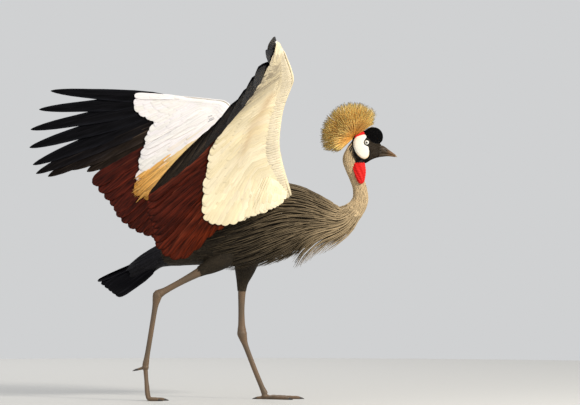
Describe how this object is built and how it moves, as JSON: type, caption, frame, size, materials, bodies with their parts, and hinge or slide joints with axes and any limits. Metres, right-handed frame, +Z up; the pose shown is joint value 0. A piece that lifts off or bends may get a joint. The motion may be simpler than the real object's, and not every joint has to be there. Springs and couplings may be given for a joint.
{
  "type": "crowned crane figure",
  "caption": "Life-size still model of a grey crowned crane walking with its wings raised, with bristle crest, red wattle and long bare legs.",
  "frame": {"origin": "on the floor, under the middle of the bird's bounding box", "axes": "+X the way the bird faces and walks, +Y to its left, +Z up"},
  "size_m": [1.0409, 1.0498, 1.013],
  "materials": {
    "slate_plumage": "soft slate-grey body feathers",
    "pale_plumage": "soft pale grey-beige neck feathers",
    "wing_plumage": "white, straw and maroon wing feathers, satin",
    "primary_quills": "black flight and tail feathers with a slight sheen",
    "crest_bristles": "stiff straw-coloured bristles with dark tips",
    "cap_velvet": "dense black velvet-like feathers",
    "bare_face": "bare white skin with a red patch above, black round it",
    "wattle_skin": "bare bright red skin",
    "bill_horn": "dark grey horn with a paler tip",
    "iris": "wet pale grey-blue iris round a black pupil",
    "leg_scales": "dull grey-brown scales"
  },
  "bodies": {
    "root": {"torso": "slate_plumage", "tail": "primary_quills", "neck": "pale_plumage", "head": "bare_face", "bill_upper": "bill_horn", "bill_lower": "bill_horn", "cap": "cap_velvet", "wattle": "wattle_skin", "crest": "crest_bristles", "eye_left": "iris", "eye_right": "iris", "wing_left_arm": "wing_plumage", "wing_left_hand": "primary_quills", "wing_right_arm": "wing_plumage", "wing_right_hand": "primary_quills", "shank_left": "leg_scales", "shank_right": "leg_scales", "tarsus_left": "leg_scales", "tarsus_right": "leg_scales", "foot_left": "leg_scales", "foot_right": "leg_scales"}
  },
  "joints": []
}
